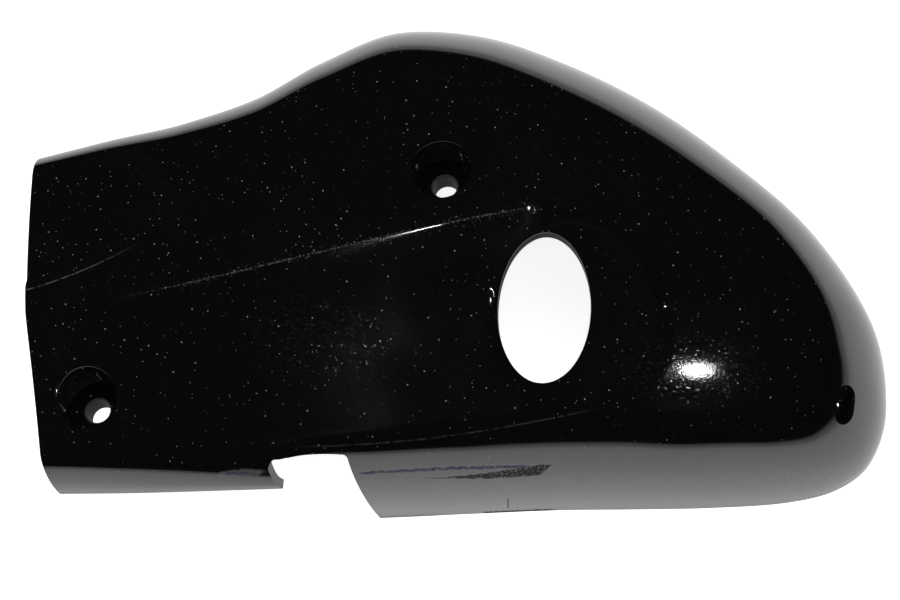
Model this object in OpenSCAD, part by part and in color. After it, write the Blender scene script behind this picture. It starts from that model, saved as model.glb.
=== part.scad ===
// Fork cover: one thin moulded shell with a folded face, a deep skirt round the
// nose, a shallow skirt at the open end, two screw wells, an oval window and a
// notch in the long lower side. Millimetres, +Z out of the face, rim on Z = 0.

/* [Body] */
// Overall length along X at the rim
body_len = 230.3; // [150:0.1:320]
// Overall width along Y at the rim
body_w = 144; // [100:0.1:200]
// Height of the ridge above the rim plane
ridge_h = 57; // [53:0.5:66]
// Wall thickness
wall_t = 2.5; // [1.6:0.1:4]

/* [Skirt] */
// Height of the shallow skirt's edge above the rim plane, open end
open_rim_h = 28.5; // [18:0.5:30]
// Where the far skirt starts to drop, from the open end
far_step_start = 40; // [20:1:70]
// Length over which the far skirt drops to the rim plane
far_step_run = 70; // [40:1:110]

/* [Edge rounding] */
// Reach of the rounding into the face at the open end, upper side
edge_open = 13.5; // [9:0.5:16]
// Reach of the rounding into the face at the crown of the upper side
edge_crown = 48; // [38:1:50]
// Reach of the rounding into the face round the nose
edge_nose = 31.5; // [24:0.5:34]
// Reach of the rounding into the face along the lower side
edge_low = 17; // [12:0.5:19]

/* [Face] */
// Rise of the upper panel as it leaves the ridge, degrees
upper_rise = 12.5; // [6:0.5:17]
// Fall of the lower panel as it leaves the ridge, degrees
lower_fall = 31; // [25:0.5:33]
// Fall of the lower panel where it meets the rounding, degrees
lower_end_fall = 14.5; // [8:0.5:17]
// Fall of the face where it meets the upper rounding, degrees
upper_end_fall = 9; // [4:0.5:15]
// Drop of the face from the ridge's corner to the nose
nose_drop = 23.5; // [14:0.5:26]
// Rise of the nose panel as it leaves the ridge's corner, degrees
nose_rise = 11; // [5:0.5:15]
// Height of the small step in the upper panel at the open end
step_h = 1.3; // [0.5:0.1:2]

/* [Screw wells] */
// Mouth diameter of a well
well_mouth_d = 15; // [13:0.5:18]
// Floor diameter of a well
well_floor_d = 13.2; // [11:0.2:13.6]
// Depth of a well below the face at its centre
well_depth = 10; // [7:0.5:12]
// Screw hole diameter
screw_d = 6.4; // [5:0.1:7.5]
// Length of the screw hole, floor and spigot together
screw_hole_len = 6.5; // [4.5:0.5:9]
// Outer diameter of the spigot behind the floor
spigot_d = 11; // [9.5:0.5:13]
// Upper well centre, X
well_a_x = -3.9; // [-12:0.1:4]
// Upper well centre, Y
well_a_y = 36.1; // [34.5:0.1:44]
// Lower well centre, X
well_b_x = -93.7; // [-95:0.1:-82]
// Lower well centre, Y
well_b_y = -23.0; // [-26:0.1:-20]

/* [Window] */
// Window centre, X
window_x = 22.8; // [17:0.1:32]
// Window centre, Y
window_y = 2.7; // [-3:0.1:5]
// Window width
window_w = 23.7; // [14:0.1:28]
// Window length
window_l = 34.9; // [26:0.1:44]
// Lean of the window, degrees
window_lean = -3; // [-9:0.5:6]

/* [Notch] */
// Left end of the notch, X
notch_x = -47.2; // [-60:0.1:-40]
// Width of the notch at its top
notch_w = 19.7; // [12:0.1:24]
// Height of the notch's top edge above the rim plane
notch_top = 36.5; // [31:0.5:37]

/* [Pry recess] */
// Length of the small recess in the nose rounding
pry_l = 10.5; // [6:0.5:14]
// Width of the small recess
pry_w = 5; // [3:0.5:7]
// Depth of the small recess
pry_depth = 0.9; // [0.4:0.1:1.4]
// Place of the recess along the outline, nose tip to lower side
pry_place = 1; // [0.4:0.05:1.5]
// Place of the recess round the rounding, degrees
pry_angle = 53; // [45:1:62]

/* [Hidden] */
$fn = 64;

// Plan outline of the outer wall, upper side and lower side, open end first; the
// last point of the upper list is the tip of the nose and both sides meet there.
upper_pts = [[-117, 51.8], [-98, 57], [-77.7, 62.5], [-58.7, 72], [-41.4, 87.2],
    [-21.3, 99.8], [2.8, 99.4], [27.6, 90.3], [52.4, 76.4], [74.5, 59.3],
    [95.6, 38.9], [110.4, 14.7], [113.2, -6.9]];
lower_pts = [[-104, -43], [-84, -42.5], [-63, -41.6], [-42, -40.6], [-20, -39.5],
    [2, -38.1], [24, -36.8], [46, -36.2], [66, -35.5], [85.7, -33.8], [99.5, -29.9],
    [108.8, -21.8]];
// Line on which the ribs of both sides meet; its first part is the ridge
spine_pts = [[-110.5, -3], [-93, -1.6], [-74, 3.2], [-55, 8.7], [-35, 13.8],
    [-14, 18.9], [4.5, 23.2], [19.5, 26], [34, 23.5], [47, 18.5], [58, 12.5], [67, 7],
    [73, 3]];

sub = 4;
sides = len(upper_pts) - 1;
cols = 2 * sides * sub;
arc_rows = 9;
face_rows = 10;

span_x = 230.3;
span_y = 144;
mid_x = -1.86;
mid_y = 28.98;
kx = body_len / span_x;
ky = body_w / span_y;

function clamp01(v) = max(0, min(1, v));
function ease(v) = let (c = clamp01(v)) c * c * (3 - 2 * c);
function mix(a, b, f) = a + (b - a) * f;
function unit(v) = v / max(norm(v), 0.001);
function place(p) = [(p[0] - mid_x) * kx, (p[1] - mid_y) * ky];

loop_pts = [for (p = upper_pts) place(p), for (k = [sides - 1 : -1 : 0]) place(lower_pts[k])];
ridge_pts = [for (p = spine_pts) place(p)];

function spline(l, k, f) =
    let (a = l[max(k - 1, 0)], b = l[k], c = l[min(k + 1, len(l) - 1)],
        d = l[min(k + 2, len(l) - 1)])
    b + 0.5 * f * (c - a + f * (2 * a - 5 * b + 4 * c - d + f * (3 * (b - c) + d - a)));
function along(l, i) =
    let (k = min(floor(i / sub), len(l) - 2)) spline(l, k, i / sub - k);
function spine_at(i) = along(ridge_pts, min(i, cols - i));
function outline_at(i) = along(loop_pts, i);

// Position along the length from 0 at the open end to 1 at the nose tip
function way(x) = clamp01(x / body_len + 0.5);
// Line of the ridge in Y at a given X, running on level past its corner
function ridge_y(x) =
    let (x0 = ridge_pts[0][0], x1 = ridge_pts[7][0], y0 = ridge_pts[0][1],
        y1 = ridge_pts[7][1], f = (x - x0) / (x1 - x0), s = (x - x1) / (34 * kx))
    x < x1 ? mix(y0, y1, f) - 2.4 * (1 - pow(2 * clamp01(f) - 1, 2)) * (1 - 1.6 * f)
        : y1 + 3.4 * ky * (1 - exp(-s) * (1 + s));

// Half widths of the face above and below the ridge line
function reach_up(x) = mix(50, 68, ease(way(x) * 2.2)) * ky;
function reach_low(x) = mix(36, 52, ease(way(x) * 2.2)) * ky;

// Distance past the two lines on which the ridge fans out into the nose panel; they
// leave its corner at fold_low and fold_high degrees
fold_low = -109.5;
fold_high = 128.8;
function past_fold(x, y) =
    let (q = y - ridge_y(x), dx = x - ridge_pts[7][0],
        turn = (atan2(q, dx) - fold_low) / (fold_high - fold_low))
    1.22 * norm([dx, q]) * sin(180 * turn);
// Least of q and 0, with a corner rounded over a width of w
function soft_min(q, w) = (q - sqrt(q * q + w * w)) / 2;

function face_z(x, y) =
    let (q = y - ridge_y(x), far = ease((way(x) - 0.62) / 0.3), open = 1 - ease(way(x) / 0.55),
        up = tan(upper_rise) * (1 - 0.62 * open), e = tan(upper_end_fall),
        s0 = mix(mix(tan(lower_fall), tan(lower_fall) * 0.65, open), up, far),
        s1 = mix(tan(lower_end_fall), tan(lower_end_fall + 6.5), far),
        b = max(past_fold(x, y), 0),
        nx = max(x - ridge_pts[7][0], 0) / (body_len / 2 - ridge_pts[7][0]))
    ridge_h - nose_drop * pow(nx, 2.3)
        + (q > 0 ? up * q - (up + e) / (2 * reach_up(x)) * q * q
            : up * q + (s0 - s1) / (2 * reach_low(x)) * q * q)
        + (s0 - up) * soft_min(q, 0.7 + 0.7 * b)
        + tan(nose_rise) * 9.7 * (1 - exp(-b / 9.7)) * exp(-q * q / 3600)
        - step_drop(x, y);

// The small step near the upper edge of the open end, fading along its run
function step_drop(x, y) =
    let (line = place([-113, 3.5])[1] + 0.4 * (x + body_len / 2),
        fade = 1 - ease((x + body_len / 2) / (33 * kx)))
    step_h * fade * ease((y - line) / 2.2);

function reach_at(i) =
    let (g = i / cols)
    g < 0.5
        ? mix(mix(edge_open, edge_crown, ease(g * 3.25)), edge_nose, ease((g - 0.27) / 0.23))
        : mix(edge_nose, edge_low, ease((g - 0.5) * 7))
            * (1 - 0.65 * ease((g - 0.7) / 0.3));

// One rib from rim to ridge; inset is 0 outside and the wall thickness inside
function inward(i) = unit(spine_at(i) - outline_at(i));
function arc_point(i, inset, f) =
    let (p = outline_at(i), m = inward(i), r = reach_at(i) - inset,
        top = face_z(p[0], p[1]) - inset * 1.04,
        h = max(top - rim_soft(i) - 1.5, 4),
        a = mix(asin(clamp01(1 - (top - rim_plan(i) - 1.5) / h)), 90, f),
        xy = p + m * (inset + r * (1 - cos(a))))
    [xy[0], xy[1], face_z(xy[0], xy[1]) - inset * 1.04 - h * (1 - sin(a))];
function face_point(i, inset, f) =
    let (p = arc_point(i, inset, 1), s = spine_at(i), xy = mix([p[0], p[1]], s, f))
    [xy[0], xy[1], face_z(xy[0], xy[1]) - inset * 1.04];

// Height of the skirt's lower edge, with a step inside the notch
function far_rim(i) =
    open_rim_h * (1 - ease((outline_at(i)[0] + body_len / 2 - far_step_start) / far_step_run));
function rim_plan(i) =
    i < cols / 2 ? far_rim(i) : (outline_at(i)[0] < (notch_x + 2 - mid_x) * kx ? open_rim_h : 0);
// Height that the rounding aims at, which changes smoothly past the notch
function rim_soft(i) =
    i < cols / 2 ? far_rim(i)
        : open_rim_h * (1 - ease((outline_at(i)[0] - (notch_x - 9 - mid_x) * kx) / (22 * kx)));
function rim_z(i) =
    min(rim_plan(i), arc_point(i, 0, 0)[2] - 1.5, arc_point(i, wall_t, 0)[2] - 1.5);
function wall_point(i, inset) =
    let (t = arc_point(i, inset, 0))
    [t[0], t[1], rim_z(i)];
function rib_point(i, inset, j) =
    j < 1 ? wall_point(i, inset)
        : j < 1 + arc_rows ? arc_point(i, inset, (j - 1) / arc_rows)
        : face_point(i, inset, (j - 1 - arc_rows) / face_rows);

rows = 2 + arc_rows + face_rows;
function id(side, i, j) =
    side * (cols + 1) * rows + (j == rows - 1 ? min(i, cols - i) : i) * rows + j;

module shell() {
    points = [for (inset = [0, wall_t]) for (i = [0 : cols]) for (j = [0 : rows - 1])
        rib_point(i, inset, j)];
    skin = [for (s = [0, 1]) for (i = [0 : cols - 1]) for (j = [0 : rows - 2])
        for (f = [
            [id(s, i, j), id(s, i, j + 1), id(s, i + 1, j)],
            [id(s, i + 1, j), id(s, i, j + 1), id(s, i + 1, j + 1)]])
        if (f[0] != f[1] && f[1] != f[2] && f[0] != f[2]) s == 1 ? f : [f[0], f[2], f[1]]];
    rim = [for (i = [0 : cols - 1]) for (f = [
        [id(0, i, 0), id(1, i, 0), id(0, i + 1, 0)],
        [id(0, i + 1, 0), id(1, i, 0), id(1, i + 1, 0)]]) f];
    ends = [for (i = [0, cols]) for (j = [0 : rows - 2])
        for (f = [
            [id(0, i, j), id(1, i, j), id(0, i, j + 1)],
            [id(1, i, j), id(1, i, j + 1), id(0, i, j + 1)]])
        i == cols ? f : [f[0], f[2], f[1]]];
    polyhedron(points = points, faces = concat(skin, rim, ends), convexity = 6);
}

// Local slope of the face along X and Y
function slope_x(p) = (face_z(p[0] + 3, p[1]) - face_z(p[0] - 3, p[1])) / 6;
function slope_y(p) = (face_z(p[0], p[1] + 3) - face_z(p[0], p[1] - 3)) / 6;

well_a = place([well_a_x, well_a_y]);
well_b = place([well_b_x, well_b_y]);
function well_z(p) = face_z(p[0], p[1]) - well_depth;

// Moulded tube round a well, cut off inside the wall, with its spigot below
module well_body(p) {
    h = face_z(p[0], p[1]);
    intersection() {
        translate([p[0], p[1], well_z(p) - wall_t])
            cylinder(d = well_floor_d + 2 * wall_t, h = well_depth + 12);
        translate([p[0], p[1], h - wall_t / 2])
            multmatrix([[1, 0, 0, 0], [0, 1, 0, 0],
                [slope_x(p), slope_y(p), 1, 0], [0, 0, 0, 1]])
            translate([-20, -20, -40])
            cube([40, 40, 40]);
    }
    translate([p[0], p[1], well_z(p) - screw_hole_len])
        cylinder(d = spigot_d, h = screw_hole_len);
}

module well_cut(p) {
    translate([p[0], p[1], well_z(p)])
        cylinder(d1 = well_floor_d, d2 = well_mouth_d, h = well_depth);
    translate([p[0], p[1], well_z(p) + well_depth])
        cylinder(d = well_mouth_d, h = 20);
    translate([p[0], p[1], well_z(p) - screw_hole_len - 1])
        cylinder(d = screw_d, h = screw_hole_len + 2);
}

module window_cut() {
    c = place([window_x, window_y]);
    translate([c[0], c[1], 10])
        rotate([0, 0, window_lean])
        linear_extrude(height = 60)
        polygon([for (k = [0 : 47]) [window_w / 2 * cos(k * 7.5), window_l / 2 * sin(k * 7.5)]]);
}

// The notch's sides lean a little and its top corners are rounded
module notch_cut() {
    x = (notch_x - mid_x) * kx;
    r = 1.6;
    arcs = concat(
        [for (k = [0 : 4]) [r - r * cos(k * 22.5), notch_top - r + r * sin(k * 22.5)]],
        [for (k = [4 : -1 : 0])
            [notch_w - r + r * cos(k * 22.5), notch_top - 1.8 - r + r * sin(k * 22.5)]]);
    translate([x, -body_w / 2 + 18, 0])
        rotate([90, 0, 0])
        linear_extrude(height = 25)
        polygon(concat(arcs, [[notch_w + 4.3, -1.3], [-0.7, -1.3]]));
}

// Shallow scoop across the nose rounding, for levering the cover off
module pry_cut() {
    i = cols / 2 + pry_place * sub;
    c = arc_point(i, 0, pry_angle / 90);
    t = unit(arc_point(i + 0.5, 0, pry_angle / 90) - arc_point(i - 0.5, 0, pry_angle / 90));
    n = unit(cross(arc_point(i, 0, pry_angle / 90 + 0.03)
        - arc_point(i, 0, pry_angle / 90 - 0.03), t));
    m = cross(t, n);
    r = (pry_w * pry_w / 4 + pry_depth * pry_depth) / (2 * pry_depth);
    o = c + n * (r - pry_depth);
    multmatrix([[n[0], m[0], t[0], o[0]], [n[1], m[1], t[1], o[1]],
            [n[2], m[2], t[2], o[2]], [0, 0, 0, 1]])
        cylinder(r = r, h = pry_l, center = true);
}

module fork_cover() {
    color([0.02, 0.02, 0.022])
    difference() {
        union() {
            shell();
            well_body(well_a);
            well_body(well_b);
        }
        well_cut(well_a);
        well_cut(well_b);
        window_cut();
        notch_cut();
        pry_cut();
    }
}

fork_cover();
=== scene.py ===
"""Fork cover: the moulded shell in gloss black, with its wear, dust and studio."""

from __future__ import annotations

import logging
import math
from dataclasses import dataclass, field
from enum import Enum

import bpy
import numpy as np
from mathutils import Matrix, Vector

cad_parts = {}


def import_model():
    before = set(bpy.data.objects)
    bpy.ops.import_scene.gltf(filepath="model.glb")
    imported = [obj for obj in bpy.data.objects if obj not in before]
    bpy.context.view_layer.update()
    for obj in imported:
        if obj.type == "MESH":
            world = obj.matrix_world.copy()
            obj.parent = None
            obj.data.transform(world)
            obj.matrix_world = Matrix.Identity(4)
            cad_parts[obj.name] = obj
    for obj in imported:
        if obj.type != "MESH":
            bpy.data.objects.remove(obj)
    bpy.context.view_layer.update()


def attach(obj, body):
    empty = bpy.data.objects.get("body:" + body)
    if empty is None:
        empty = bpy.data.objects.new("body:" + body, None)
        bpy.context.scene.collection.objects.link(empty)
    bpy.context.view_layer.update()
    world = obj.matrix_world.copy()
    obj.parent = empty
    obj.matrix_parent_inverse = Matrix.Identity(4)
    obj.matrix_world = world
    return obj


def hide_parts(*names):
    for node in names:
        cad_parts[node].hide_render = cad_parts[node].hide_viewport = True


LOG = logging.getLogger("fork_cover")
MM = 0.001
Pair = tuple[float, float]
Triple = tuple[float, float, float]


def ease(value: np.ndarray) -> np.ndarray:
    """Returns a smooth step from 0 to 1 over values from 0 to 1."""
    held = np.clip(value, 0.0, 1.0)
    return held * held * (3.0 - 2.0 * held)


def mix(low: np.ndarray, high: np.ndarray, share: np.ndarray) -> np.ndarray:
    """Returns the value that lies a share of the way from low to high."""
    return low + (high - low) * share


class Solver(Enum):
    """Boolean solvers, quickest first."""

    MANIFOLD = "MANIFOLD"
    EXACT = "EXACT"


@dataclass(frozen=True)
class CoverSizes:
    """Driving sizes of the cover in millimetres and degrees."""

    length: float = 230.3
    ridge_height: float = 57.0
    wall: float = 2.5
    open_rim: float = 28.5
    step_start: float = 40.0
    step_run: float = 70.0
    edge_open: float = 13.5
    edge_crown: float = 48.0
    edge_nose: float = 31.5
    edge_low: float = 17.0
    upper_rise: float = 12.5
    lower_fall: float = 31.0
    lower_end_fall: float = 14.5
    upper_end_fall: float = 9.0
    nose_drop: float = 23.5
    nose_rise: float = 11.0
    step_height: float = 1.3
    notch_x: float = -47.2


class CoverForm:
    """The surface of the cover: outline, ridge line, face heights and ribs."""

    UPPER = (
        (-117, 51.8), (-98, 57), (-77.7, 62.5), (-58.7, 72), (-41.4, 87.2), (-21.3, 99.8),
        (2.8, 99.4), (27.6, 90.3), (52.4, 76.4), (74.5, 59.3), (95.6, 38.9), (110.4, 14.7),
        (113.2, -6.9),
    )
    LOWER = (
        (-104, -43), (-84, -42.5), (-63, -41.6), (-42, -40.6), (-20, -39.5), (2, -38.1),
        (24, -36.8), (46, -36.2), (66, -35.5), (85.7, -33.8), (99.5, -29.9), (108.8, -21.8),
    )
    SPINE = (
        (-110.5, -3), (-93, -1.6), (-74, 3.2), (-55, 8.7), (-35, 13.8), (-14, 18.9),
        (4.5, 23.2), (19.5, 26), (34, 23.5), (47, 18.5), (58, 12.8), (67, 8.7), (73, 6.6),
    )
    MIDDLE = (-1.86, 28.98)

    def __init__(self, sizes: CoverSizes) -> None:
        """Prepares the outline and the ridge line for the given sizes.

        Args:
            sizes: The driving sizes.
        """
        self.s = sizes
        loop = self.UPPER + tuple(reversed(self.LOWER))
        self.loop = np.array([self.place(p) for p in loop])
        self.spine = np.array([self.place(p) for p in self.SPINE])
        self.sides = len(self.UPPER) - 1

    def place(self, point: Pair) -> Pair:
        """Returns a drawn point in the part's own frame."""
        return (point[0] - self.MIDDLE[0], point[1] - self.MIDDLE[1])

    @staticmethod
    def spline(points: np.ndarray, at: np.ndarray) -> np.ndarray:
        """Returns points on a Catmull-Rom curve.

        Args:
            points: The points that the curve passes through.
            at: Places along it, counted in points.

        Returns:
            The curve's points at those places.
        """
        last = len(points) - 1
        k = np.minimum(np.floor(at).astype(int), last - 1)
        f = (at - k)[:, None]
        a, b = points[np.maximum(k - 1, 0)], points[k]
        c, d = points[k + 1], points[np.minimum(k + 2, last)]
        return b + 0.5 * f * (c - a + f * (2 * a - 5 * b + 4 * c - d + f * (3 * (b - c) + d - a)))

    def ridge_y(self, x: np.ndarray) -> np.ndarray:
        """Returns the ridge line's Y at each X.

        Args:
            x: Places along the part in millimetres.

        Returns:
            The line's Y in millimetres.
        """
        x0, y0 = self.spine[0]
        x1, y1 = self.spine[7]
        f = (x - x0) / (x1 - x0)
        held = np.clip(f, 0, 1)
        left = mix(y0, y1, f) - 2.4 * (1 - (2 * held - 1) ** 2) * (1 - 1.6 * f)
        run = np.maximum(x - x1, 0) / 34
        right = y1 + 3.4 * (1 - np.exp(-run) * (1 + run))
        return np.where(x < x1, left, right)

    def past_fold(self, x: np.ndarray, q: np.ndarray) -> np.ndarray:
        """Returns the distance past the lines where the ridge fans out, above 0.

        Args:
            x: Places along the part in millimetres.
            q: Distances from the ridge line.

        Returns:
            Distances in millimetres.
        """
        dx = x - self.spine[7][0]
        turn = (np.arctan2(q, dx) + math.radians(109.5)) / math.radians(238.3)
        far = np.hypot(dx, q)
        past = 1.22 * far * np.sin(math.pi * turn)
        soft = 0.7 + 0.1 * far
        return (past + np.sqrt(past * past + soft * soft) - 0.1 * far) / 2

    def step_drop(self, x: np.ndarray, y: np.ndarray) -> np.ndarray:
        """Returns the drop past the small step at the open end.

        Args:
            x: Places along the part in millimetres.
            y: Places across it in millimetres.

        Returns:
            Drops in millimetres.
        """
        run = x + self.s.length / 2
        line = self.place((-113, 3.5))[1] + 0.4 * run
        return self.s.step_height * (1 - ease(run / 33)) * ease((y - line + 1.6) / 3.2)

    def height(self, x: np.ndarray, y: np.ndarray) -> np.ndarray:
        """Returns the height of the face, before its edge rounding.

        Args:
            x: Places along the part in millimetres.
            y: Places across it in millimetres.

        Returns:
            Heights in millimetres.
        """
        s = self.s
        q = y - self.ridge_y(x)
        way = np.clip(x / s.length + 0.5, 0, 1)
        far = ease((way - 0.62) / 0.3)
        near = 1 - ease(way / 0.55)
        up = math.tan(math.radians(s.upper_rise)) * (1 - 0.62 * near)
        end_up = math.tan(math.radians(s.upper_end_fall))
        fall = math.tan(math.radians(s.lower_fall))
        s0 = mix(mix(fall, fall * 0.65, near), up, far)
        s1 = mix(math.tan(math.radians(s.lower_end_fall)),
                 math.tan(math.radians(s.lower_end_fall + 6.5)), far)
        reach_up = mix(50, 68, ease(way * 2.2))
        reach_low = mix(36, 52, ease(way * 2.2))
        past = self.past_fold(x, q)
        c = self.spine[7][0]
        nose = np.maximum(x - c, 0) / (s.length / 2 - c)
        above = up * q - (up + end_up) / (2 * reach_up) * q * q
        below = up * q + (s0 - s1) / (2 * reach_low) * q * q
        width = 0.45 + 0.7 * past
        fold = (s0 - up) * (q - np.sqrt(q * q + width * width)) / 2
        swell = (math.tan(math.radians(s.nose_rise)) * 9.7 * (1 - np.exp(-past / 9.7))
                 * np.exp(-q * q / 3600))
        return (s.ridge_height - s.nose_drop * nose ** 2.3 + np.where(q > 0, above, below)
                + fold + swell - self.step_drop(x, y))

    def rims(self, g: np.ndarray, x: np.ndarray) -> tuple[np.ndarray, np.ndarray]:
        """Returns the rim's height and the height that the rounding aims at.

        Args:
            g: Places round the outline from 0 to 1, open end, upper side first.
            x: The outline's X at each place.

        Returns:
            Both heights at each place.
        """
        s = self.s
        far = s.open_rim * (1 - ease((x + s.length / 2 - s.step_start) / s.step_run))
        left = s.notch_x + 6 - self.MIDDLE[0]
        start = s.notch_x + 2 - self.MIDDLE[0]
        near = np.where(x < left, s.open_rim, 0.0)
        soft = s.open_rim * (1 - ease((x - start) / 17))
        return np.where(g < 0.5, far, near), np.where(g < 0.5, far, soft)

    def reach(self, g: np.ndarray) -> np.ndarray:
        """Returns how far the edge rounding reaches into the face.

        Args:
            g: Places round the outline from 0 to 1.

        Returns:
            Reaches in millimetres.
        """
        s = self.s
        upper = mix(mix(s.edge_open, s.edge_crown, ease(g * 3.25)), s.edge_nose,
                    ease((g - 0.27) / 0.23))
        lower = (mix(s.edge_nose, s.edge_low, ease((g - 0.5) * 7))
                 * (1 - 0.65 * ease((g - 0.7) / 0.3)))
        return np.where(g < 0.5, upper, lower)

    def rib_data(self, g: np.ndarray) -> tuple[np.ndarray, ...]:
        """Returns what each rib needs: foot, inward way, reach, depth, first angle, rim, end.

        Args:
            g: Places round the outline from 0 to 1.

        Returns:
            Those seven arrays, in that order.
        """
        p = self.spline(self.loop, g * 2 * self.sides)
        m = self.spline(self.spine, np.minimum(g, 1 - g) * 2 * self.sides)
        d = m - p
        d /= np.linalg.norm(d, axis=1)[:, None]
        rim, soft = self.rims(g, p[:, 0])
        top = self.height(p[:, 0], p[:, 1])
        h = np.maximum(top - soft - 1.5, 4.0)
        first = np.degrees(np.arcsin(np.clip(1 - (top - rim - 1.5) / h, 0, 1)))
        return p, d, self.reach(g), h, first, rim, m

    def arc(self, g: np.ndarray, share: float) -> np.ndarray:
        """Returns points on the edge rounding.

        Args:
            g: Places round the outline from 0 to 1.
            share: Place on the rounding, 0 at its foot and 1 at the face.

        Returns:
            One row of points.
        """
        p, d, r, h, first, _, _ = self.rib_data(g)
        a = np.radians(mix(first, 90.0, share))
        xy = p + d * (r * (1 - np.cos(a)))[:, None]
        z = self.height(xy[:, 0], xy[:, 1]) - h * (1 - np.sin(a))
        return np.column_stack([xy, z])

    def grid(self, columns: int, wall_rows: int, arc_rows: int, face_rows: int) -> np.ndarray:
        """Returns the outer surface as rows of points from the rim to the ridge.

        Args:
            columns: Steps round the outline, an even number.
            wall_rows: Rows on the upright strip at the rim.
            arc_rows: Rows on the edge rounding.
            face_rows: Rows on the face.

        Returns:
            Points by row, then by column.
        """
        g = np.arange(columns + 1) / columns
        _, _, _, _, _, rim, m = self.rib_data(g)
        rows = [self.arc(g, k / arc_rows) for k in range(arc_rows + 1)]
        foot = rows[0]
        low = np.minimum(rim, foot[:, 2] - 1.5)
        walls = [np.column_stack([foot[:, :2], mix(low, foot[:, 2], k / wall_rows)])
                 for k in range(wall_rows)]
        edge = rows[-1][:, :2]
        faces = []
        for k in range(1, face_rows + 1):
            share = 1 - (1 - k / face_rows) ** 1.35
            xy = mix(edge, m, share)
            faces.append(np.column_stack([xy, self.height(xy[:, 0], xy[:, 1])]))
        return np.array(walls + rows + faces)


@dataclass
class Socket:
    """A shader value that can be reckoned with; each sum adds its Math node."""

    graph: "Graph"
    link: bpy.types.NodeSocket | float

    def _math(self, kind: str, other: "Socket | float", turned: bool = False) -> "Socket":
        """Adds one Math node on this value and another."""
        pair = (other, self) if turned else (self, other)
        return self.graph.node("ShaderNodeMath", {"operation": kind}, {0: pair[0], 1: pair[1]})

    def __add__(self, other: "Socket | float") -> "Socket":
        """Returns the sum."""
        return self._math("ADD", other)

    __radd__ = __add__

    def __sub__(self, other: "Socket | float") -> "Socket":
        """Returns the difference."""
        return self._math("SUBTRACT", other)

    def __rsub__(self, other: "Socket | float") -> "Socket":
        """Returns the difference, turned round."""
        return self._math("SUBTRACT", other, True)

    def __mul__(self, other: "Socket | float") -> "Socket":
        """Returns the product."""
        return self._math("MULTIPLY", other)

    __rmul__ = __mul__

    def __truediv__(self, other: "Socket | float") -> "Socket":
        """Returns the quotient."""
        return self._math("DIVIDE", other)

    def most(self, other: "Socket | float") -> "Socket":
        """Returns the larger of two values."""
        return self._math("MAXIMUM", other)

    def size(self) -> "Socket":
        """Returns the value without its sign."""
        return self._math("ABSOLUTE", 0.0)

    def towards(self, other: "Socket | float", share: "Socket | float") -> "Socket":
        """Returns the value that lies a share of the way towards another."""
        return self + (other - self) * share

    def clip(self) -> "Socket":
        """Returns the value held between 0 and 1."""
        return self.graph.node("ShaderNodeClamp", {}, {"Value": self})

    def step(self, low: float, high: float) -> "Socket":
        """Returns a smooth rise from 0 at low to 1 at high.

        Args:
            low: The value where the rise starts.
            high: The value where it ends.

        Returns:
            The rise, from 0 to 1.
        """
        return self.graph.node(
            "ShaderNodeMapRange", {"interpolation_type": "SMOOTHSTEP"},
            {"Value": self, "From Min": low, "From Max": high})


class Graph:
    """The node tree of one material, cleared and ready for its own nodes."""

    def __init__(self, name: str) -> None:
        """Makes the material and its output node.

        Args:
            name: The material's name.
        """
        self.material = bpy.data.materials.new(name)
        self.material.use_nodes = True
        self.tree = self.material.node_tree
        self.tree.nodes.clear()
        self.output = self.tree.nodes.new("ShaderNodeOutputMaterial")

    def node(self, kind: str, settings: dict, inputs: dict, out: int | str = 0) -> Socket:
        """Adds one node and returns one of its outputs.

        Args:
            kind: Blender's type name of the node.
            settings: The node's own settings, set first.
            inputs: Values or sockets for its inputs, by name or place.
            out: The output to return.

        Returns:
            That output, ready to be reckoned with.
        """
        made = self.tree.nodes.new(kind)
        for key, value in settings.items():
            setattr(made, key, value)
        for key, value in inputs.items():
            if isinstance(value, Socket):
                self.tree.links.new(value.link, made.inputs[key])
            else:
                made.inputs[key].default_value = value
        return Socket(self, made.outputs[out])

    def noise(self, place: Socket, scale: float, detail: float) -> Socket:
        """Returns soft noise from 0 to 1 over places in millimetres."""
        return self.node("ShaderNodeTexNoise", {},
                         {"Vector": place, "Scale": scale, "Detail": detail}, "Fac")

    def blend(self, first: Socket | tuple, second: Socket | tuple, share: Socket) -> Socket:
        """Returns a colour between two colours.

        Args:
            first: The colour where share is 0.
            second: The colour where share is 1.
            share: The mask between them.

        Returns:
            The blended colour.
        """
        pair = [c if isinstance(c, Socket) else (*c, 1.0) for c in (first, second)]
        return self.node("ShaderNodeMix", {"data_type": "RGBA"},
                         {0: share, 6: pair[0], 7: pair[1]}, 2)

    def between(self, first: Socket, second: Socket, share: Socket) -> Socket:
        """Returns the vector that lies a share of the way from first to second."""
        return self.node("ShaderNodeMix", {"data_type": "VECTOR"},
                         {0: share, 4: first, 5: second}, 1)

    def vector(self, kind: str, inputs: dict, out: int | str = 0) -> Socket:
        """Adds one Vector Math node and returns one of its outputs."""
        return self.node("ShaderNodeVectorMath", {"operation": kind}, inputs, out)

    def parts(self, vector: Socket) -> tuple[Socket, ...]:
        """Returns the three numbers of a vector."""
        return tuple(self.node("ShaderNodeSeparateXYZ", {}, {0: vector}, n) for n in range(3))

    def shader(self, inputs: dict) -> Socket:
        """Adds a Principled shader with the given inputs."""
        return self.node("ShaderNodeBsdfPrincipled", {}, inputs)

    def finish(self, shader: Socket) -> bpy.types.Material:
        """Links the last shader to the output and returns the material."""
        self.tree.links.new(shader.link, self.output.inputs["Surface"])
        return self.material


def band(value: Socket, half: Socket | float, soft: float) -> Socket:
    """Returns 1 where a value is closer to 0 than half, with a soft border."""
    return 1.0 - (value.size() - half).step(-soft, soft)


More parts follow.
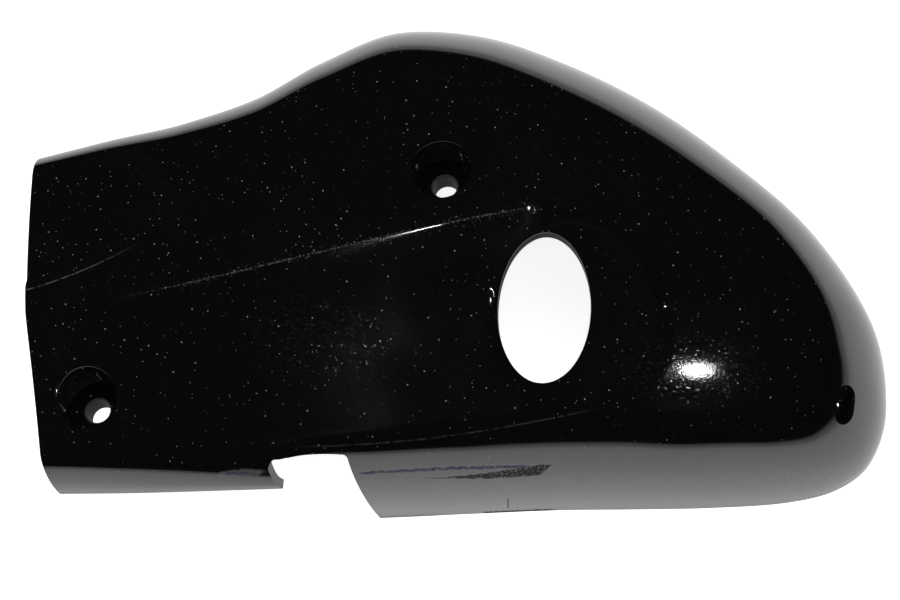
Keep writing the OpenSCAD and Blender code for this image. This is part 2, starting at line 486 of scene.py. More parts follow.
@dataclass(frozen=True)
class Ground:
    """What every mask of the finish is made from: place, facing and three noises."""

    g: Graph
    place: Socket
    x: Socket
    y: Socket
    z: Socket
    normal: Socket
    up: Socket
    wide: Socket
    fine: Socket
    grit: Socket

    @classmethod
    def read(cls, g: Graph) -> "Ground":
        """Reads the place in millimetres, the normal and the noises.

        Args:
            g: The material's graph.

        Returns:
            The sockets that the masks share.
        """
        coords = g.node("ShaderNodeTexCoord", {}, {}, "Object")
        place = g.vector("SCALE", {0: coords, "Scale": 1000.0})
        normal = g.node("ShaderNodeNewGeometry", {}, {}, "Normal")
        return cls(g, place, *g.parts(place), normal, g.parts(normal)[2],
                   g.noise(place, 0.045, 2.0), g.noise(place, 0.55, 3.0),
                   g.noise(place, 1.9, 2.0))

    def blob(self, middle: Pair, reach: Pair) -> Socket:
        """Returns a soft oval patch, given its middle and its half sizes."""
        return 1.0 - self.oval(middle, reach).step(0.15, 1.0)

    def oval(self, middle: Pair, reach: Pair) -> Socket:
        """Returns the squared distance from a middle, 1 on the oval of the given reach."""
        u, v = (self.x - middle[0]) / reach[0], (self.y - middle[1]) / reach[1]
        return u * u + v * v

    def run(self, start: float, full: float, fade: float, end: float) -> Socket:
        """Returns 1 between two places along the part, with soft ends."""
        return self.x.step(start, full) * (1.0 - self.x.step(fade, end))

    def ridge(self) -> Socket:
        """Returns the distance from the ridge line, left of the line's end.

        Returns:
            The distance in millimetres, above 0 on the upper side.
        """
        f = (self.x + 108.64) / 130.0
        bow = 1.0 - (f * 2.0 - 1.0) * (f * 2.0 - 1.0)
        return self.y - (f * 29.0 - 31.98 - bow * (1.0 - f * 1.6) * 2.4)

    def waver(self, reach: float) -> Socket:
        """Returns a small uneven shift, up to half the reach to either side."""
        return (self.fine - 0.5) * reach


@dataclass(frozen=True)
class PanelTilt:
    """Slight tilts of the shading normal, as flat moulded panels show them.

    A slope is the normal's X and Y over its Z. Places are in millimetres.
    """

    panel: Pair = (32.7, -28.0)
    panel_reach: Pair = (21.5, 23.0)
    panel_zero: float = 33.0
    panel_slope: Pair = (-0.06, -0.51)
    dome: Pair = (63.3, -40.3)
    dome_slope: Pair = (-0.033, -0.384)
    corner: Pair = (20.9, -3.2)
    corner_slope: Pair = (0.078, -0.50)
    diagonal: float = 0.7071
    seam_slope: Pair = (0.088, -0.512)
    crease: Pair = (11.0, -24.3)
    crease_reach: Pair = (1.0, 2.6)
    crease_slope: Pair = (0.101, -0.433)
    pocket: Triple = (101.6, -42.75, 25.65)
    pocket_run: Triple = (-0.4, -2.9, -1.3)
    pocket_out: Triple = (0.66, -0.40, 0.63)
    pocket_glint: Triple = (99.3, -44.8, 26.5)
    pocket_slope: Triple = (-0.118, -0.361, 1.0)

    def face(self, at: Ground) -> Socket:
        """Returns the normal on the face, tilted panel by panel.

        Args:
            at: The sockets of the finish.

        Returns:
            The normal, the mesh's own wherever the mesh turns away from the panels.
        """
        g, x, y = at.g, at.x, at.y
        nx, ny, nz = g.parts(at.normal)
        on_ridge = band(at.ridge(), 4.0, 2.5)
        drop = (-36.0 - y).step(-6.0, 10.0) * at.run(-30.0, 0.0, 40.0, 60.0)
        lean = at.blob((6.0, -26.0), (22.0, 16.0))
        tx = nx / nz.most(0.05) + on_ridge * (
            at.run(-40.0, -26.0, -2.5, 1.5) * 0.047 - at.run(-2.5, 1.5, 18.5, 21.0) * 0.06)
        ty = ny / nz.most(0.05) - lean * 0.06 - drop * 0.115

        dome = at.run(46.0, 52.0, 67.0, 88.0) * y.step(-54.0, -46.0) * (1.0 - y.step(-36.0, -20.0))
        tx = tx.towards((x - self.dome[0]) * 0.002 + self.dome_slope[0], dome)
        ty = ty.towards((y - self.dome[1]) * 0.009 + self.dome_slope[1], dome)

        away = at.oval(self.panel, self.panel_reach)
        border = away.step(0.80, 0.98) * (1.0 - away.step(1.22, 1.5)) * x.step(17.0, 24.0)
        tx = tx.towards((x - self.panel_zero) * 0.0008 + self.panel_slope[0],
                        1.0 - away.step(0.93, 1.05))
        ty = ty.towards((y - self.panel[1]) * -0.003 + self.panel_slope[1],
                        1.0 - away.step(1.0, 1.25))
        tx = tx.towards(y.step(-27.0, -23.0) * 0.39 - 0.17, border * 0.95)

        crease = 1.0 - at.oval(self.crease, self.crease_reach).step(0.25, 1.6)
        tx = tx.towards((x - self.crease[0]) / 7.0 + self.crease_slope[0], crease)
        ty = ty.towards((y - self.crease[1]) / 20.8 + self.crease_slope[1], crease)

        ax, ay = x - self.corner[0], y - self.corner[1]
        along, across = (ay - ax) * self.diagonal, (ax + ay) * self.diagonal
        seam = (1.0 - (across + along * along * 0.02).size().step(0.12, 0.5)) * (
            along.step(-0.2, 0.3) * (1.0 - along.step(3.0, 16.0)))
        corner = 1.0 - (ax * ax + ay * ay).step(0.6, 3.0)
        tx = tx.towards(self.seam_slope[0], seam)
        ty = ty.towards(self.seam_slope[1], seam)
        tx = tx.towards(ax / 15.0 + self.corner_slope[0], corner)
        ty = ty.towards(ay / 15.0 + self.corner_slope[1], corner)

        tilted = g.vector("NORMALIZE", {
            0: g.node("ShaderNodeCombineXYZ", {}, {0: tx, 1: ty, 2: 1.0})})
        alike = g.vector("DOT_PRODUCT", {0: tilted, 1: at.normal}, "Value")
        return g.between(at.normal, tilted, alike.step(0.955, 0.982))

    def whole(self, at: Ground) -> Socket:
        """Returns the normal everywhere, with the floor of the small recess turned up.

        Args:
            at: The sockets of the finish.

        Returns:
            The normal that the bump starts from.
        """
        g = at.g
        gone = g.vector("SUBTRACT", {0: at.place, 1: self.pocket})
        length = sum(part * part for part in self.pocket_run)
        share = g.vector("DOT_PRODUCT", {0: gone, 1: self.pocket_run}, "Value") / length
        near = g.vector("SCALE", {0: self.pocket_run, "Scale": share.clip()})
        off = g.vector("DISTANCE", {0: gone, 1: near}, "Value")
        out = g.vector("DOT_PRODUCT", {0: at.normal, 1: self.pocket_out}, "Value")
        inside = (1.0 - off.step(3.2, 3.6)) * out.step(0.2, 0.4)
        spot = g.vector("SUBTRACT", {0: at.place, 1: self.pocket_glint})
        bent = g.vector("MULTIPLY_ADD", {0: spot, 1: (0.09, 0.06, 0.0), 2: self.pocket_slope})
        return g.between(self.face(at), g.vector("NORMALIZE", {0: bent}), inside)


@dataclass(frozen=True)
class Scratches:
    """One set of short straight scratches: their way, their cells and their shift."""

    turn: float
    long: float
    wide: float
    seed: float

    def mask(self, at: Ground) -> Socket:
        """Returns 1 in the scratches.

        Args:
            at: The sockets of the finish.

        Returns:
            A mask of thin strokes, one to a cell.
        """
        c, k = math.cos(math.radians(self.turn)), math.sin(math.radians(self.turn))
        spot = at.g.node("ShaderNodeCombineXYZ", {}, {
            0: (at.x * c + at.y * k) / self.long + self.seed,
            1: (at.y * c - at.x * k) / self.wide, 2: self.seed})
        near = at.g.node("ShaderNodeTexVoronoi", {"voronoi_dimensions": "2D"},
                         {"Vector": spot, "Scale": 1.0}, "Distance")
        return 1.0 - near.step(0.03, 0.085)


@dataclass(frozen=True)
class GlossBlack:
    """Gloss black moulded plastic, dusty, with fine scratches, wear and skirt marks, and with
    painted light: a painted floor reflection low on the skirts, painted shade along a skirt's
    bottom edge, painted bluish reflections beside the notch and a painted highlight along the
    lower fold.
    """

    name: str = "gloss_black"
    plastic: Triple = (0.0028, 0.0028, 0.0031)
    # Painted reflection: the lighter grey that the skirts' colour takes near their bottom,
    # standing in for the white floor's reflection.
    floor_sheen_grey: Triple = (0.11, 0.11, 0.107)
    # Light grey of the dusty specks and the wear, and also of the painted highlight along the
    # lower fold.
    dust_and_highlight_grey: Triple = (0.27, 0.28, 0.28)
    grime: Triple = (0.022, 0.019, 0.014)
    # Painted reflection: the bluish colour of the reflections beside the notch.
    reflection_blue: Triple = (0.026, 0.026, 0.060)
    # Near black for the nick, the walls of the holes and the painted shade along the skirt's
    # bottom edge.
    nick_wall_and_shade: Triple = (0.006, 0.006, 0.005)
    index: float = 1.9
    wells: tuple[Pair, ...] = ((-2.04, 7.12), (-91.84, -51.98))
    window: Pair = (24.66, -26.28)
    window_reach: Pair = (12.5, 18.1)
    scratches: tuple[Scratches, ...] = (
        Scratches(3.0, 7.0, 1.5, 3.1), Scratches(24.0, 5.0, 1.1, 9.4),
        Scratches(-38.0, 4.2, 1.2, 17.7), Scratches(78.0, 4.8, 1.3, 23.9),
        Scratches(-8.0, 9.0, 2.1, 31.3))

    @staticmethod
    def specks(at: Ground, cell: float, size: float) -> Socket:
        """Returns a mask of round specks strewn through space.

        Args:
            at: The sockets of the finish.
            cell: Mean distance of the specks.
            size: Radius of a speck.

        Returns:
            1 in the specks.
        """
        near = at.g.node("ShaderNodeTexVoronoi", {},
                         {"Vector": at.place, "Scale": 1.0 / cell}, "Distance")
        return 1.0 - near.step(size / cell * 0.55, size / cell)

    def dusty(self, at: Ground) -> Socket:
        """Returns the dusty specks: fine, coarse, and thick along the ridge.

        Args:
            at: The sockets of the finish.

        Returns:
            A mask of specks.
        """
        on_ridge = band(at.ridge(), 0.8, 1.0) * at.run(-88.0, -48.0, 14.0, 22.0)
        fine = self.specks(at, 1.7, 0.15) * (at.wide.step(0.36, 0.62) * 0.6 + 0.25)
        coarse = self.specks(at, 3.1, 0.23) * 0.75
        return fine.most(coarse).most(self.specks(at, 0.72, 0.15) * on_ridge * 0.6)

    def wear_and_highlight_lines(self, at: Ground) -> Socket:
        """Returns light lines: wear on the ridge, a painted highlight along the lower fold, and a
        thin line along the step.

        Args:
            at: The sockets of the finish.

        Returns:
            A mask of thin broken lines.
        """
        ridge = band(at.ridge(), 0.1, 0.28) * at.run(-90.0, -50.0, 14.0, 22.0)
        bent = (at.x + 8.2) * 0.1117 + (at.x + 8.2) * (at.x + 37.3) * 0.00087
        # Painted highlight: a faint light line along the lower fold.
        fold = band(at.y + 58.11 - bent, 0.08, 0.22) * at.run(-42.0, -22.0, 30.0, 40.0)
        end = at.x + 107.4
        step = band(at.y + 25.0 - end * 0.30 - end * end * 0.0058, 0.05, 0.3)
        step = step * (1.0 - at.x.step(-98.0, -78.0)) * at.up.step(0.6, 0.9)
        return ((ridge * at.grit.step(0.40, 0.62) * 0.34)
                .most(fold * at.fine.step(0.35, 0.6) * 0.12)
                .most(step * at.fine.step(0.3, 0.5) * 0.42))

    @staticmethod
    def smeared(at: Ground, near: Socket) -> Socket:
        """Returns the brown smear and the dark streak on the long skirt.

        Args:
            at: The sockets of the finish.
            near: The mask of that skirt.

        Returns:
            A mask of the two marks.
        """
        off = at.x - 9.0
        taper = at.x.step(-9.0, 24.0) * 1.75 + 0.12
        smear = band(at.z - 22.0 - off * off * 0.0042 + at.waver(1.6), taper, 0.35)
        end = (at.x - (at.z - 22.0) * 0.9).step(23.4, 25.2)
        smear = smear * at.x.step(-9.0, -6.0) * (1.0 - end)
        streak = band(at.z - 33.2 + (at.x + 54.0) * 0.24 + at.waver(0.8), 0.12, 0.3)
        streak = streak * at.run(-63.0, -60.0, -50.0, -47.5)
        return (smear * (at.grit.step(0.30, 0.46) * 0.5 + 0.5)).most(streak * 0.8) * near

    @staticmethod
    def blue_reflections(at: Ground, near: Socket) -> Socket:
        """Returns painted bluish reflections on both sides of the notch.

        Args:
            at: The sockets of the finish.
            near: The mask of the long skirt.

        Returns:
            A mask of the rubs.
        """
        right = band(at.z - 25.9 + (at.x + 4.0) * 0.062 + at.waver(1.6), 0.7, 0.6)
        right = right * at.run(-25.0, -22.0, 19.0, 24.0)
        left = band(at.z - 36.0 + at.waver(2.2), 0.6, 0.6) * at.run(-59.0, -56.0, -48.0, -45.0)
        return right.most(left) * near * at.grit.step(0.26, 0.46)

    def nick_wall_and_edge_shade(self, at: Ground, near: Socket) -> Socket:
        """Returns painted shade along the bottom edge of the skirt, the nick on the skirt, and the
        matte walls of the holes.

        Args:
            at: The sockets of the finish.
            near: The mask of the long skirt.

        Returns:
            A mask of what is matte black, with the painted shade.
        """
        # Painted shade: the bottom edge of the long skirt is darkened, with a ragged border.
        low = 1.0 - (at.z + (at.grit - 0.5) * 3.0).step(0.9, 1.9)
        edge = low * at.run(6.0, 7.5, 24.0, 28.0).most(at.run(-24.0, -22.5, -8.0, -2.0) * 0.5)
        nick = band(at.x - 13.9 - (at.z - 7.0) * 0.06, 0.18, 0.22) * (
            at.z.step(3.0, 4.0) * (1.0 - at.z.step(9.0, 12.0)))
        walls = (1.0 - at.oval(self.window, self.window_reach).step(0.98, 1.03)) * (
            1.0 - at.up.step(0.1, 0.4))
        for well in self.wells:
            walls = walls.most(1.0 - at.oval(well, (1.0, 1.0)).step(11.0, 13.0))
        return (edge.most(nick) * near).most(walls * 0.92)

    def make(self) -> bpy.types.Material:
        """Builds the material.

        Returns:
            The finished material.
        """
        g = Graph(self.name)
        at = Ground.read(g)
        outside = at.up.step(-0.2, 0.0)
        skirt = (1.0 - at.up.step(0.25, 0.62)) * outside
        near = (1.0 - at.up.step(0.60, 0.72)) * outside * (1.0 - at.y.step(-52.0, -46.0))

        swirl = ((at.blob((-33.0, -35.0), (24.0, 13.0)) * 0.8)
                 .most(at.blob((63.0, -40.0), (24.0, 11.0)))
                 .most(at.wide.step(0.5, 0.7) * 0.35))
        marks = self.scratches[0].mask(at) * swirl
        for more in self.scratches[1:]:
            marks = marks.most(more.mask(at) * swirl)
        grime, blue_reflection_mask, nick_wall_and_shade = (
            self.smeared(at, near), self.blue_reflections(at, near), self.nick_wall_and_edge_shade(at, near))
        # Dusty specks, wear, scratches and the painted highlight along the lower fold.
        dust_wear_and_highlight = self.dusty(at).most(self.wear_and_highlight_lines(at)).most(marks * 0.035)
        cover = dust_wear_and_highlight.most(grime * 0.95).most(blue_reflection_mask * 0.85).most(nick_wall_and_shade * 0.95).clip()
        colour = g.blend(self.dust_and_highlight_grey, self.grime, grime.clip())
        # Painted bluish reflections beside the notch.
        colour = g.blend(colour, self.reflection_blue, blue_reflection_mask.clip())
        colour = g.blend(colour, self.nick_wall_and_shade, nick_wall_and_shade.clip())

        # Painted reflection of the white floor: the skirts' colour turns unevenly lighter towards
        # their bottom.
        painted_floor_sheen = skirt * (1.0 - at.z.step(4.0, 34.0)) * (at.fine * 0.5 + 0.6)
        body = g.blend(self.plastic, self.floor_sheen_grey, painted_floor_sheen.clip())
        rough = at.wide * 0.03 + at.fine * 0.025 + 0.045 + skirt * 0.06 + marks * 0.08
        height = marks * -0.5 + at.grit * swirl * 0.9 + at.fine * 0.12
        bump = g.node("ShaderNodeBump", {}, {
            "Strength": 0.55, "Distance": 0.000016, "Height": height,
            "Normal": PanelTilt().whole(at)})
        gloss = g.shader({"Base Color": body, "Roughness": rough, "Normal": bump,
                          "IOR": self.index})
        matte = g.shader({"Base Color": colour, "Roughness": 0.85, "Specular IOR Level": 0.15})
        return g.finish(g.node("ShaderNodeMixShader", {}, {0: cover, 1: gloss, 2: matte}))


@dataclass(frozen=True)
class Well:
    """One screw well: place, diameters and depths in millimetres."""

    x: float
    y: float
    mouth: float = 15.0
    floor: float = 13.2
    depth: float = 10.0
    screw: float = 6.4
    screw_length: float = 6.5
    spigot: float = 11.0


@dataclass
class Cover:
    """The one moulded piece: shell, screw wells, window, notch and pry recess."""

    sizes: CoverSizes = field(default_factory=CoverSizes)
    wells: tuple[Well, ...] = (Well(-3.9, 36.1), Well(-93.7, -23.0))
    notch_width: float = 19.7
    notch_top: float = 36.5
    notch_round: float = 1.6
    window: Pair = (22.8, 2.7)
    window_half: Pair = (0.01185, 0.01745)
    window_lean: float = -3.0
    columns: int = 432
    wall_rows: int = 3
    arc_rows: int = 30
    face_rows: int = 48

    def __post_init__(self) -> None:
        """Prepares the surface that every cut follows."""
        self.form = CoverForm(self.sizes)

    def surface(self, x: np.ndarray, y: np.ndarray) -> np.ndarray:
        """Returns the face's height in metres at places in metres."""
        return self.form.height(np.asarray(x) / MM, np.asarray(y) / MM) * MM

    @staticmethod
    def closed_grid(points: np.ndarray, name: str, caps: bool) -> bpy.types.Object:
        """Makes a mesh from a grid primitive whose vertices take the given places.

        Args:
            points: Rows of points in metres; each row runs once round the piece.
            name: The piece's name.
            caps: Whether the first and last rows are closed with a face.

        Returns:
            The piece.
        """
        rows, columns = points.shape[:2]
        bpy.ops.object.select_all(action="DESELECT")
        bpy.ops.mesh.primitive_grid_add(
            x_subdivisions=columns - 1, y_subdivisions=rows - 1, size=1.0)
        piece = bpy.context.object
        piece.name = name
        piece.data.vertices.foreach_set("co", points.reshape(-1, 3).astype(np.float32).ravel())
        piece.data.update()
        bpy.ops.object.mode_set(mode="EDIT")
        bpy.ops.mesh.select_all(action="SELECT")
        bpy.ops.mesh.remove_doubles(threshold=2e-6)
        if caps:
            bpy.ops.mesh.select_all(action="DESELECT")
            bpy.ops.mesh.select_non_manifold()
            bpy.ops.mesh.edge_face_add()
        bpy.ops.mesh.select_all(action="SELECT")
        bpy.ops.mesh.normals_make_consistent(inside=False)
        bpy.ops.object.mode_set(mode="OBJECT")
        return piece

    def shell(self) -> bpy.types.Object:
        """Models the thin shell on a grid, closes its ridge and gives it its wall.

        Returns:
            The shell.
        """
        points = self.form.grid(self.columns, self.wall_rows, self.arc_rows, self.face_rows)
        piece = self.closed_grid(points * MM, "fork_cover_shell", False)
        if sum(p.normal.z * p.area for p in piece.data.polygons) < 0:
            piece.data.flip_normals()
        bpy.context.view_layer.objects.active = piece
        wall = piece.modifiers.new("wall", "SOLIDIFY")
        wall.thickness = self.sizes.wall * MM
        wall.offset = -1.0
        wall.use_rim = True
        bpy.ops.object.modifier_apply(modifier=wall.name)
        return piece

    @staticmethod
    def rings(centre: Pair, profile: list[tuple[float, np.ndarray]],
              turn: np.ndarray) -> np.ndarray:
        """Returns rings of points round a centre, for a turned cutter.

        Args:
            centre: The centre's X and Y in metres.
            profile: Radius in metres and heights in metres of each ring.
            turn: Angles round each ring in radians.

        Returns:
            Points by ring.
        """
        return np.array([
            np.column_stack([centre[0] + r * np.cos(turn), centre[1] + r * np.sin(turn),
                             np.broadcast_to(z, turn.shape)])
            for r, z in profile])

    def well_bodies(self) -> list[bpy.types.Object]:
        """Models the tube and spigot behind each well.

        Returns:
            One closed piece for each well.
        """
        made = []
        turn = np.linspace(0, 2 * math.pi, 73)
        for n, well in enumerate(self.wells):
            x, y = (v * MM for v in self.form.place((well.x, well.y)))
            floor = float(self.surface(x, y)) - well.depth * MM
            wall = self.sizes.wall * MM
            r_tube = well.floor / 2 * MM + wall
            r_pin = well.spigot / 2 * MM
            top = self.surface(x + r_tube * np.cos(turn), y + r_tube * np.sin(turn)) - wall / 2
            foot = floor - well.screw_length * MM
            profile = [(r_pin - 0.0004, foot), (r_pin, foot + 0.0004), (r_pin, floor - wall),
                       (r_tube - 0.0005, floor - wall), (r_tube, floor - wall + 0.0005),
                       (r_tube, top)]
            made.append(self.closed_grid(
                self.rings((x, y), profile, turn), f"well_body_{n}", True))
        return made

    def well_cutters(self) -> list[bpy.types.Object]:
        """Models the cutters of the wells, with a small lip round each mouth.

        Returns:
            One closed piece for each well.
        """
        made = []
        turn = np.linspace(0, 2 * math.pi, 97)
        for n, well in enumerate(self.wells):
            x, y = (v * MM for v in self.form.place((well.x, well.y)))
            floor = float(self.surface(x, y)) - well.depth * MM
            foot = floor - well.screw_length * MM
            r_floor, r_mouth, r_screw = (v / 2 * MM for v in (well.floor, well.mouth, well.screw))

            def face(r: float, drop: float) -> np.ndarray:
                """Returns heights on the face at a radius, lowered by a drop."""
                at_x, at_y = x + r * np.cos(turn), y + r * np.sin(turn)
                return self.surface(at_x, at_y) - drop

            profile = [
                (r_screw + 0.0003, foot - 0.001), (r_screw + 0.0003, foot),
                (r_screw, foot + 0.0003), (r_screw, floor - 0.0003), (r_screw + 0.0003, floor),
                (r_floor - 0.0006, floor), (r_floor - 0.00018, floor + 0.00018),
                (r_floor, floor + 0.0006),
                (r_mouth, face(r_mouth, 0.0009)), (r_mouth + 0.0001, face(r_mouth, 0.0005)),
                (r_mouth + 0.00033, face(r_mouth + 0.0003, 0.0002)),
                (r_mouth + 0.0009, face(r_mouth + 0.0009, -0.00002)),
                (r_mouth + 0.0013, face(r_mouth + 0.0013, -0.004))]
            made.append(self.closed_grid(
                self.rings((x, y), profile, turn), f"well_cutter_{n}", True))
        return made

    def window_cutter(self) -> bpy.types.Object:
        """Models the cutter of the oval window, its lip following the face.

        Returns:
            The closed cutter.
        """
        x, y = (v * MM for v in self.form.place(self.window))
        turn = np.linspace(0, 2 * math.pi, 145)
        lean = math.radians(self.window_lean)
        rows = []
        for grow, lift in ((0.0, None), (0.0, -0.0006), (0.0001, -0.00028), (0.0005, 0.00002),
                           (0.0009, 0.004)):
            a, b = (half + grow for half in self.window_half)
            px = a * np.cos(turn) * math.cos(lean) - b * np.sin(turn) * math.sin(lean) + x
            py = a * np.cos(turn) * math.sin(lean) + b * np.sin(turn) * math.cos(lean) + y
            z = np.full_like(px, 0.02) if lift is None else self.surface(px, py) + lift
            rows.append(np.column_stack([px, py, z]))
        return self.closed_grid(np.array(rows), "window_cutter", True)

    def notch_cutter(self) -> bpy.types.Object:
        """Models the cutter of the notch, with rounded corners and leaning sides.

        Returns:
            The closed cutter.
        """
        x = self.sizes.notch_x - self.form.MIDDLE[0]
        w, top, r = self.notch_width, self.notch_top, self.notch_round
        turn = np.linspace(0, math.pi / 2, 7)
        left = [(r - r * math.cos(t), top + 0.8 - r + r * math.sin(t)) for t in turn]
        left.append((8.5, top - 0.4))
        right = [(w - r + r * math.cos(t), top - 2.6 - r + r * math.sin(t)) for t in turn[::-1]]
        outline = left + right + [
            (w + 4.3, -1.3), (-0.7, -1.3), (-0.7, 27.6), (2.7, 28.3), left[0]]
        rows = [[(x + px, y, pz) for px, pz in outline] for y in (-79.0, -54.0)]
        return self.closed_grid(np.array(rows) * MM, "notch_cutter", True)

    def pry_cutter(self) -> bpy.types.Object:
        """Models the cutter of the small pill-shaped recess in the nose rounding.

        Returns:
            The closed cutter.
        """
        share = 53 / 90
        mid, low, high = self.form.arc(np.array([0.5417, 0.5365, 0.5469]), share) * MM
        side = (self.form.arc(np.array([0.5417]), share + 0.03)
                - self.form.arc(np.array([0.5417]), share - 0.03))[0]
        along = Vector(high - low).normalized()
        out = Vector(side).cross(along).normalized()
        if out.z < 0:
            out = -out
        across = out.cross(along)
        bpy.ops.object.select_all(action="DESELECT")
        bpy.ops.mesh.primitive_uv_sphere_add(segments=64, ring_count=32, radius=1.0)
        piece = bpy.context.object
        piece.name = "pry_cutter"
        frame = Matrix((across, along, out)).transposed()
        half, wide, deep = 0.0025, 0.0026, 0.0022
        for vertex in piece.data.vertices:
            c = vertex.co.copy()
            shift = half if c.y > 0.001 else -half if c.y < -0.001 else 0.0
            spot = Vector((c.x * wide, c.y * wide + shift, c.z * deep))
            vertex.co = Vector(mid) + out * 0.0012 + frame @ spot
        piece.data.update()
        return piece

    @staticmethod
    def combine(piece: bpy.types.Object, tool: bpy.types.Object, kind: str) -> None:
        """Joins a tool to the piece or cuts it out, and removes the tool.

        Args:
            piece: The piece that is kept.
            tool: The closed mesh that is joined or cut out.
            kind: UNION or DIFFERENCE.
        """
        before = len(piece.data.vertices)
        bpy.ops.object.select_all(action="DESELECT")
        bpy.context.view_layer.objects.active = piece
        piece.select_set(True)
        for solver in Solver:
            step = piece.modifiers.new("combine", "BOOLEAN")
            step.operation = kind
            step.solver = solver.value
            step.object = tool
            bpy.ops.object.modifier_apply(modifier=step.name)
            if len(piece.data.vertices) != before and len(piece.data.vertices) > 0:
                LOG.info("%s %s with %s", kind.lower(), tool.name, solver.value)
                break
            LOG.info("%s left %s undone", solver.value, tool.name)
        bpy.data.objects.remove(tool, do_unlink=True)

    def build(self) -> bpy.types.Object:
        """Models the whole piece and dresses it.

        Returns:
            The finished cover.
        """
        piece = self.shell()
        for body in self.well_bodies():
            self.combine(piece, body, "UNION")
        cutters = self.well_cutters()
        cutters += [self.window_cutter(), self.notch_cutter(), self.pry_cutter()]
        for cutter in cutters:
            self.combine(piece, cutter, "DIFFERENCE")
        bpy.ops.object.shade_smooth_by_angle(angle=math.radians(28))
        piece.data.materials.clear()
        piece.data.materials.append(GlossBlack().make())
        return piece


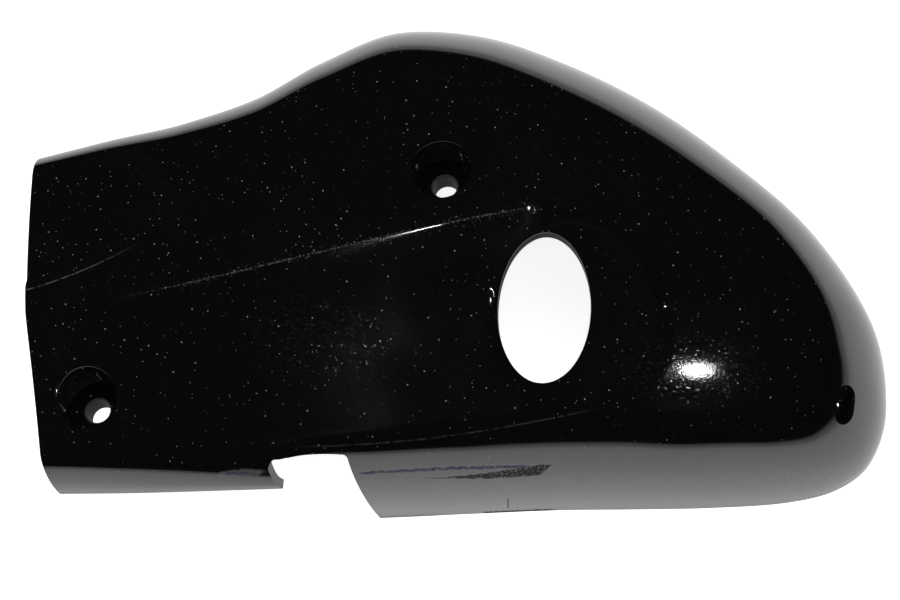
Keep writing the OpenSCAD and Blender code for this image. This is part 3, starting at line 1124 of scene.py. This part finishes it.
@dataclass(frozen=True)
class Studio:
    """White floor, soft lamps, a small flash and the camera."""

    aim: Triple = (1.86, -28.98, 57.0)
    azimuth: float = 16.0
    elevation: float = 65.0
    distance: float = 416.0
    focus_px: float = 1664.0

    def back(self) -> Vector:
        """Returns the direction from the object to the camera."""
        a, e = math.radians(self.azimuth), math.radians(self.elevation)
        return Vector((math.sin(a) * math.cos(e), -math.cos(a) * math.cos(e), math.sin(e)))

    def camera(self) -> bpy.types.Object:
        """Places the camera, level with the cover's length.

        Returns:
            The camera.
        """
        back = self.back()
        up = back.cross(Vector((1, 0, 0))).normalized()
        right = up.cross(back)
        data = bpy.data.cameras.new("camera")
        data.lens = 36.0 * self.focus_px / 900.0
        data.clip_start = 0.01
        data.clip_end = 50.0
        camera = bpy.data.objects.new("camera", data)
        bpy.context.scene.collection.objects.link(camera)
        turn = Matrix((right, up, back)).transposed().to_4x4()
        camera.matrix_world = Matrix.Translation(
            (Vector(self.aim) + back * self.distance) * MM) @ turn
        bpy.context.scene.camera = camera
        return camera

    def lamp(self, name: str, at: Triple, size: float, power: float,
             glossy: bool) -> bpy.types.Object:
        """Adds one square area lamp that faces the cover.

        Args:
            name: The lamp's name.
            at: Its place in metres.
            size: Its side in metres.
            power: Its power in watts.
            glossy: Whether gloss shows it.

        Returns:
            The lamp.
        """
        data = bpy.data.lights.new(name, "AREA")
        data.size = size
        data.energy = power
        lamp = bpy.data.objects.new(name, data)
        bpy.context.scene.collection.objects.link(lamp)
        lamp.location = at
        aim = Vector((0, 0, 0.04)) - Vector(at)
        lamp.rotation_euler = aim.to_track_quat("-Z", "Y").to_euler()
        lamp.visible_glossy = glossy
        return lamp

    def floor(self) -> bpy.types.Object:
        """Lays the white floor, which shows white to the camera; in gloss it glows as a painted
        pool of light, white near the middle and grey further out.

        Returns:
            The floor.
        """
        bpy.ops.object.select_all(action="DESELECT")
        bpy.ops.mesh.primitive_plane_add(size=6.0, location=(0, 0, 0))
        floor = bpy.context.object
        floor.name = "floor"
        g = Graph("floor_white")
        path = g.tree.nodes.new("ShaderNodeLightPath")
        seen = Socket(g, path.outputs["Is Camera Ray"])
        gloss = Socket(g, path.outputs["Is Glossy Ray"])
        clear = Socket(g, path.outputs["Is Transmission Ray"])
        plain = g.node("ShaderNodeBsdfDiffuse", {}, {"Color": (0.8, 0.8, 0.8, 1)})
        glow = g.node("ShaderNodeEmission", {}, {"Color": (1, 1, 1, 1), "Strength": 0.85})
        lit = g.node("ShaderNodeAddShader", {}, {0: plain, 1: glow})
        place = g.node("ShaderNodeTexCoord", {}, {}, "Object")
        far = g.node("ShaderNodeVectorMath", {"operation": "LENGTH"}, {0: place}, "Value")
        # Painted light: seen in gloss, the floor glows white near the middle and fades to grey
        # further out.
        shade = g.blend((1.0, 1.0, 1.0), (0.42, 0.42, 0.42), far.step(0.12, 0.75))
        full = g.node("ShaderNodeEmission", {}, {"Color": shade, "Strength": 1.0})
        for_eye = g.node("ShaderNodeMixShader", {}, {0: seen, 1: plain, 2: lit})
        shader = g.node("ShaderNodeMixShader", {}, {0: gloss.most(clear), 1: for_eye, 2: full})
        floor.data.materials.append(g.finish(shader))
        return floor

    def world(self) -> None:
        """Sets a white surround, dark overhead where gloss would show it."""
        world = bpy.data.worlds.new("studio")
        bpy.context.scene.world = world
        world.use_nodes = True
        tree = world.node_tree
        tree.nodes.clear()
        out = tree.nodes.new("ShaderNodeOutputWorld")
        ground = tree.nodes.new("ShaderNodeBackground")
        path = tree.nodes.new("ShaderNodeLightPath")
        way = tree.nodes.new("ShaderNodeTexCoord")
        split = tree.nodes.new("ShaderNodeSeparateXYZ")
        ramp = tree.nodes.new("ShaderNodeMapRange")
        ramp.inputs["To Max"].default_value = 0.42
        ramp.inputs["From Min"].default_value = 0.03
        ramp.inputs["From Max"].default_value = -0.01
        tree.links.new(way.outputs["Generated"], split.inputs[0])
        tree.links.new(split.outputs["Z"], ramp.inputs["Value"])
        choose = tree.nodes.new("ShaderNodeMix")
        tree.links.new(path.outputs["Is Glossy Ray"], choose.inputs["Factor"])
        diffuse = tree.nodes.new("ShaderNodeMix")
        diffuse.inputs["A"].default_value = 0.35
        diffuse.inputs["B"].default_value = 1.0
        tree.links.new(path.outputs["Is Camera Ray"], diffuse.inputs["Factor"])
        tree.links.new(diffuse.outputs["Result"], choose.inputs["A"])
        tree.links.new(ramp.outputs["Result"], choose.inputs["B"])
        tree.links.new(choose.outputs["Result"], ground.inputs["Strength"])
        tree.links.new(ground.outputs[0], out.inputs["Surface"])

    def build(self) -> None:
        """Sets up the whole studio."""
        self.floor()
        self.world()
        self.lamp("softbox", (0.2, 0.3, 1.3), 1.4, 14.0, False)
        self.lamp("fill", (-0.9, -0.7, 0.8), 0.9, 5.0, False)
        flash = (Vector(self.aim) + self.back() * self.distance) * MM
        self.lamp("flash", (flash.x, flash.y + 0.012, flash.z), 0.016, 0.06, True)
        self.camera()


def main() -> None:
    """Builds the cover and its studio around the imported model."""
    logging.basicConfig(level=logging.INFO, format="%(message)s")
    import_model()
    bpy.context.scene.view_settings.view_transform = "Standard"
    cover = Cover().build()
    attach(cover, "root")
    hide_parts("fork_cover")
    LOG.info("built %s with %d faces", cover.name, len(cover.data.polygons))
    Studio().build()


if __name__ == "__main__":
    main()
